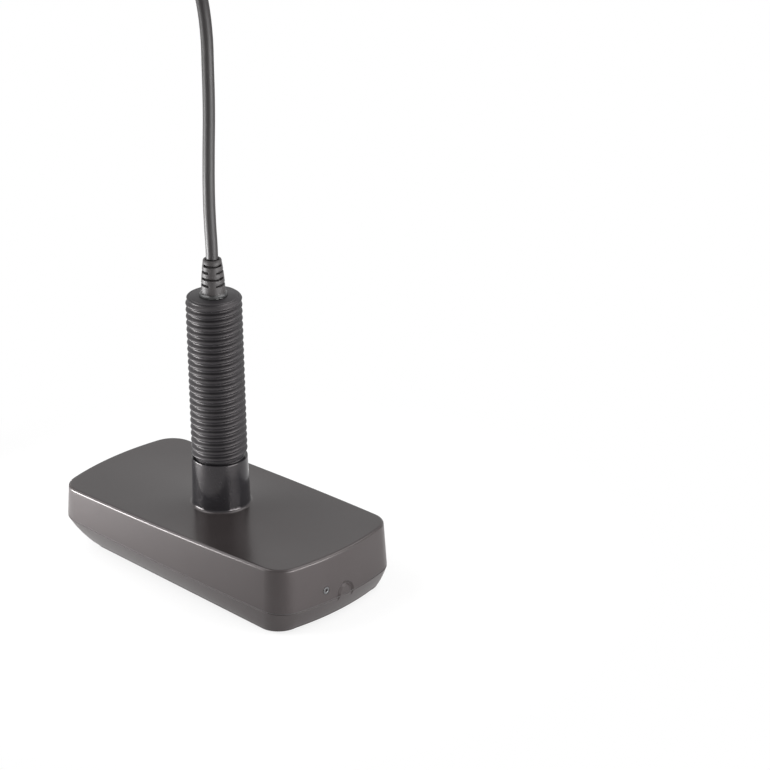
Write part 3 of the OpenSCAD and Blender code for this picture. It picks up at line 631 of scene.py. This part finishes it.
# Seam glue: a thin line of dark adhesive left between housing and cover all round the body.
# It keeps its plain form and only gets the shine of cured adhesive.
def glue_finish(name, shade, rough):
    """Cured adhesive: shiny, slightly wavy, dusty in places."""
    material, place = start_finish(name)
    wave = grain(place, 0.0016, 2)
    dust = grain(place, 0.0004, 3)
    end_finish(place, wave, 0.00012, 0.6, Base_Color=tint(dust * wave, shade, (0.05, 0.05, 0.05)),
               Roughness=rough + 0.2 * dust)
    return material


def refinish(name, material):
    """Gives a CAD node that keeps its shape a better surface."""
    nodes[name].data.materials.clear()
    nodes[name].data.materials.append(material)


refinish("joint_bead", glue_finish("seam_glue", (0.032, 0.028, 0.028), 0.34))


# Strain relief: a moulded rubber boot on the stem's tip. Rows of slots, turned by a quarter from row to
# row, let it bend; its spigot goes down into the bore and its top closes round the cable.
boot_foot_z = body_h + stem_h
boot_h, boot_foot_r, boot_hole_r, spigot_l = 0.0175, 0.0055, 0.00281, 0.012
slot_first, slot_pitch, slot_h, slot_t, slot_web, slot_turn = 0.0055, 0.003, 0.0011, 0.0012, 0.0032, -46
relief_steps, slot_rows, slot_edge, outer_wall_r = 60, 4, 0.00004, 0.004
boot_side = [(0, boot_foot_r), (0.001, boot_foot_r), (0.007, 0.00526), (0.0101, 0.005), (0.014, 0.00457),
             (0.0159, 0.0043), (0.0168, 0.00422), (0.01725, 0.00405), (boot_h, 0.0037)]


def boot_r(z):
    """The boot's outside radius at this height above its foot."""
    for (low, r_low), (high, r_high) in zip(boot_side, boot_side[1:]):
        if low <= z <= high:
            return r_low + (r_high - r_low) * (z - low) / (high - low)


levels = sorted({z for z, r in boot_side} | {slot_first + row * slot_pitch + part
                                              for row in range(slot_rows) for part in (0, slot_h)})
relief_form = bmesh.new()
spigot = [(boot_hole_r, -spigot_l), (bore_r - 0.0002, -spigot_l), (bore_r - 0.00002, 0.0003 - spigot_l),
          (bore_r - 0.00002, 0)]
profile = spigot + [(boot_r(z), z) for z in levels] + [(0.0031, boot_h), (boot_hole_r, boot_h - 0.0004)]
spun(relief_form, profile, relief_steps, ring=True)
bmesh.ops.recalc_face_normals(relief_form, faces=relief_form.faces)
for row in range(slot_rows):
    z = slot_first + row * slot_pitch + slot_h / 2
    towards = math.radians(slot_turn + 90 * ((slot_rows - 1 - row) % 2))
    for way in (0, math.pi):
        half = math.pi / 2 - math.asin(slot_web / 2 / boot_r(z))
        cut = []
        for face in relief_form.faces:
            middle = face.calc_center_median()
            swing = (math.atan2(middle.y, middle.x) - towards - way + math.pi) % math.tau - math.pi
            outside = middle.to_2d().length > outer_wall_r
            if outside and abs(middle.z - z) < slot_h / 3 and abs(swing) < half:
                cut.append(face)
        bmesh.ops.inset_region(relief_form, faces=cut, thickness=slot_edge, depth=-slot_t,
                               use_even_offset=True, use_boundary=True)
relief_form.transform(Matrix.Translation((stem_x, 0, boot_foot_z)))
boot_rubber = jacket_finish("boot_rubber", (0.025, 0.0223, 0.0223), 0.52, 0.00025)
strain_relief = make_piece("strain_relief_boot", relief_form, boot_rubber, ["strain_relief"])
soft_edges = strain_relief.modifiers.new("soft_edges", "BEVEL")
soft_edges.width, soft_edges.segments, soft_edges.limit_method = 0.00012, 2, "ANGLE"
soft_edges.angle_limit = math.radians(50)


# Sealant: a ring of black adhesive run round the boot's foot by hand, so its width wanders a little.
# It cured shiny and wets both the boot and the stem's flat tip.
sealant = glue_finish("sealant", (0.006, 0.006, 0.0065), 0.14)
bead_w, bead_h, bead_in, bead_steps = 0.0011, 0.0018, boot_foot_r - 0.0001, 60
wander_rate, wander_w, wander_h, shrink_w, shrink_h = 1.8, 0.16, 0.1, 0.1, 0.92
bead_form = bmesh.new()
bead = [(bead_in, 0)]
for angle in [math.radians(15 * k) for k in range(6)]:
    bead.append((boot_foot_r + bead_w * math.cos(angle), bead_h * math.sin(angle)))
bead.append((bead_in, bead_h))
spun(bead_form, bead, bead_steps, ring=True)
for vert in bead_form.verts:
    out = vert.co.to_2d().length - boot_foot_r
    if out > 0:
        wander = noise.noise(Vector((vert.co.x, vert.co.y, 0)).normalized() * wander_rate)
        share = 1 + (wander_w * wander - shrink_w) * min(out / bead_w, 1)
        stretch = (boot_foot_r + out * share) / (boot_foot_r + out)
        vert.co.x, vert.co.y = vert.co.x * stretch, vert.co.y * stretch
        vert.co.z *= shrink_h + wander_h * wander
bead_form.transform(Matrix.Translation((stem_x, 0, boot_foot_z)))
make_piece("sealant_ring", bead_form, sealant, ["sealant_bead"], sharp=60)


# Coil ties: two woven straps that go once round the bundle and close on themselves with hook and loop.
# Each is a flat band with round corners, a little wider than the coil's section.
tie_t, tie_w, tie_gap = 0.0008, 0.006, 0.0003


def strap_finish():
    """Black woven nylon: crossed ribs and a hairy dull sheen."""
    material, place = start_finish("strap_weave")
    ribs = place.node("ShaderNodeTexWave", {"wave_type": "BANDS", "bands_direction": "Z"},
                      {"Vector": place, "Scale": 420, "Distortion": 1.2, "Detail": 1})
    picks = place.node("ShaderNodeTexWave", {"wave_type": "BANDS", "bands_direction": "DIAGONAL"},
                       {"Vector": place, "Scale": 520, "Distortion": 0.8, "Detail": 1})
    fluff = grain(place, 0.0005, 3)
    end_finish(place, ribs + picks, 0.00015, 0.6,
               Base_Color=tint(fluff, (0.008, 0.008, 0.009), (0.028, 0.028, 0.03)),
               Roughness=0.72 + 0.2 * fluff, Sheen_Weight=0.3)
    return material


strap_weave = strap_finish()
strap_form = bmesh.new()
half_deep, low, high = coil_out_r - coil_mid_r + tie_gap, coil_floor - tie_gap, coil_top + tie_gap
middle = (low + high) / 2
soft = 0.0012
tie_bearings = (20, 100)
for bearing in tie_bearings:
    corners = [(half_deep - soft, high - soft, 0), (soft - half_deep, high - soft, 90),
               (soft - half_deep, low + soft, 180), (half_deep - soft, low + soft, 270)]
    loop = []
    for x, z, first in corners:
        for angle in [math.radians(first + 18 * k) for k in range(6)]:
            loop.append((x + soft * math.cos(angle), z + soft * math.sin(angle)))
    turned = Matrix.Rotation(math.radians(bearing), 4, "Z")
    stand = Matrix.Translation(coil_c) @ turned @ Matrix.Translation((coil_mid_r, 0, 0))
    bands = {}
    out_x, out_z = 1 + tie_t / half_deep, 1 + 2 * tie_t / (high - low)
    for side, grow_x, grow_z in (("in", 1, 1), ("out", out_x, out_z)):
        for edge in (-1, 1):
            y = edge * tie_w / 2
            band = [Vector((x * grow_x, y, middle + (z - middle) * grow_z)) for x, z in loop]
            bands[side, edge] = [stand @ point for point in band]
    skin(strap_form, [bands["in", -1], bands["in", 1], bands["out", 1], bands["out", -1], bands["in", -1]])
coil_straps = make_piece("coil_straps", strap_form, strap_weave, ["coil_ties"])


# Connector: a moulded round plug with finger grooves, a ribbed boot, and plated pins in a dark insert.
# The boot is moulded onto the cable's end, and the shell is pressed over it.
def moulded_finish(name, shade, rough, texture=0.0003):
    """Plain moulded plastic with a fine grain and slight flow marks."""
    material, place = start_finish(name)
    fine = grain(place, texture, 2)
    flow = grain(place, 0.006, 3)
    pale = tuple(1.25 * part + 0.002 for part in shade)
    end_finish(place, fine, 0.00004, 0.4, Base_Color=tint(flow, shade, pale), Roughness=rough + 0.12 * fine)
    return material


refinish("connector_boot", boot_rubber)
refinish("connector_shell", moulded_finish("shell_plastic", (0.013, 0.013, 0.014), 0.38))
refinish("connector_insert", moulded_finish("insert_plastic", (0.06, 0.06, 0.062), 0.5))
contact_metal = metal_finish("contact_metal", (0.64, 0.45, 0.14), 0.2)
refinish("connector_pins", contact_metal)


# Inner works: the carrier plate stands on the window and holds a ceramic disc and a sawn ceramic bar,
# each under a cork-filled cap. Potting, board, coil, cans and terminal block are stacked above them.
def ceramic_finish():
    """Fired ceramic with a thin silver print that has dulled in patches."""
    material, place = start_finish("ceramic")
    patch = grain(place, 0.004, 4)
    fine = grain(place, 0.0002, 2)
    end_finish(place, fine, 0.00003, 0.3, Base_Color=tint(patch, (0.5, 0.46, 0.37), (0.62, 0.58, 0.47)),
               Roughness=0.5 + 0.2 * fine)
    return material


def cork_finish():
    """Cork granules in rubber: angular light grains in a darker binder."""
    material, place = start_finish("cork")
    cells = place.node("ShaderNodeTexVoronoi", {"feature": "F1"}, {"Vector": place, "Scale": 700})
    tone = grain(place, 0.0013, 2)
    end_finish(place, cells, 0.0002, 0.7, Base_Color=tint(tone, (0.2, 0.11, 0.05), (0.45, 0.29, 0.13)),
               Roughness=0.75 + 0.2 * cells)
    return material


def potting_finish():
    """Poured dark resin with a glossy skin and a few trapped bubbles."""
    material, place = start_finish("potting")
    bubbles = place.node("ShaderNodeTexVoronoi", {"feature": "F1"}, {"Vector": place, "Scale": 260})
    haze = grain(place, 0.007, 3)
    end_finish(place, bubbles, 0.0001, 0.4,
               Base_Color=tint(haze, (0.018, 0.018, 0.022), (0.036, 0.036, 0.044)),
               Roughness=0.16 + 0.16 * haze)
    return material


def board_finish():
    """Green solder mask over copper tracks that show as slightly raised paler lines."""
    material, place = start_finish("board")
    layout = {"Vector": place, "Scale": 120, "Mortar Size": 0.04, "Color1": (0, 0, 0, 1),
              "Color2": (0, 0, 0, 1), "Mortar": (1, 1, 1, 1)}
    tracks = place.node("ShaderNodeTexBrick", {"offset": 0.5}, layout, output=1)
    fine = grain(place, 0.0005, 2)
    end_finish(place, tracks, 0.00008, 0.5, Base_Color=tint(tracks, (0.02, 0.09, 0.035), (0.05, 0.17, 0.07)),
               Roughness=0.28 + 0.15 * fine)
    return material


def wire_finish(name, shade, scale):
    """Coloured insulation or enamel with a fine wound or extruded line."""
    material, place = start_finish(name)
    lines = place.node("ShaderNodeTexWave", {"wave_type": "RINGS", "rings_direction": "Z"},
                       {"Vector": place, "Scale": scale})
    fade = grain(place, 0.003, 2)
    deep = tuple(0.6 * part for part in shade)
    end_finish(place, lines, 0.00006, 0.5, Base_Color=tint(fade, shade, deep), Roughness=0.3 + 0.15 * lines)
    return material


ceramic, cork, potting = ceramic_finish(), cork_finish(), potting_finish()
lead_red = wire_finish("wire", (0.43, 0.042, 0.027), 900)
inner_grey = moulded_finish("inner_plastic", (0.1, 0.1, 0.09), 0.5)
for name, material in (
    ("element_carrier", inner_grey),
    ("disc_element", ceramic),
    ("array_element", ceramic),
    ("disc_isolator", cork),
    ("array_isolator", cork),
    ("element_leads", lead_red),
    ("potting_layer", potting),
    ("circuit_board", board_finish()),
    ("tuning_coil", wire_finish("coil_enamel", (0.38, 0.13, 0.03), 480)),
    ("can_capacitors", moulded_finish("can_sleeve", (0.03, 0.034, 0.046), 0.32)),
    ("terminal_block", moulded_finish("block_plastic", (0.66, 0.64, 0.58), 0.45)),
    ("thermistor", potting),
    ("sensor_leads", wire_finish("sensor_wire", (0.58, 0.36, 0.02), 900)),
    ("cable_cores", lead_red),
    ("cable_tail", cable_jacket),
    ("crimp_ring", contact_metal),
    ("stem_potting", potting),
):
    refinish(name, material)
